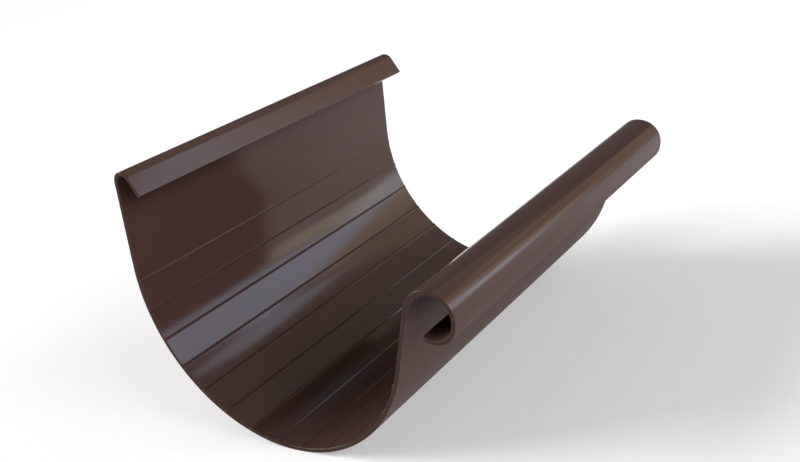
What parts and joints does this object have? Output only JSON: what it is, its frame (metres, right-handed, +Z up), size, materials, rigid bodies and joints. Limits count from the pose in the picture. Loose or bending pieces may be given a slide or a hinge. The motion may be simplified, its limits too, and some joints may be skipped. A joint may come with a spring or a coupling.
{
  "type": "rain gutter section",
  "caption": "Short straight-cut length of a deep half-round eaves gutter with a hooked back edge, a hollow round front bead and small ribs inside.",
  "frame": {"origin": "centre of the footprint on the floor: the bounding box's bottom centre, with the gutter lying on its trough, heavy side down", "axes": "+Y along the gutter, +X across it towards the front bead, +Z up"},
  "size_m": [0.1298, 0.15, 0.0981],
  "materials": {
    "gutter_plastic": "glossy, coloured through"
  },
  "bodies": {
    "root": {"gutter_section": "gutter_plastic"}
  },
  "joints": []
}
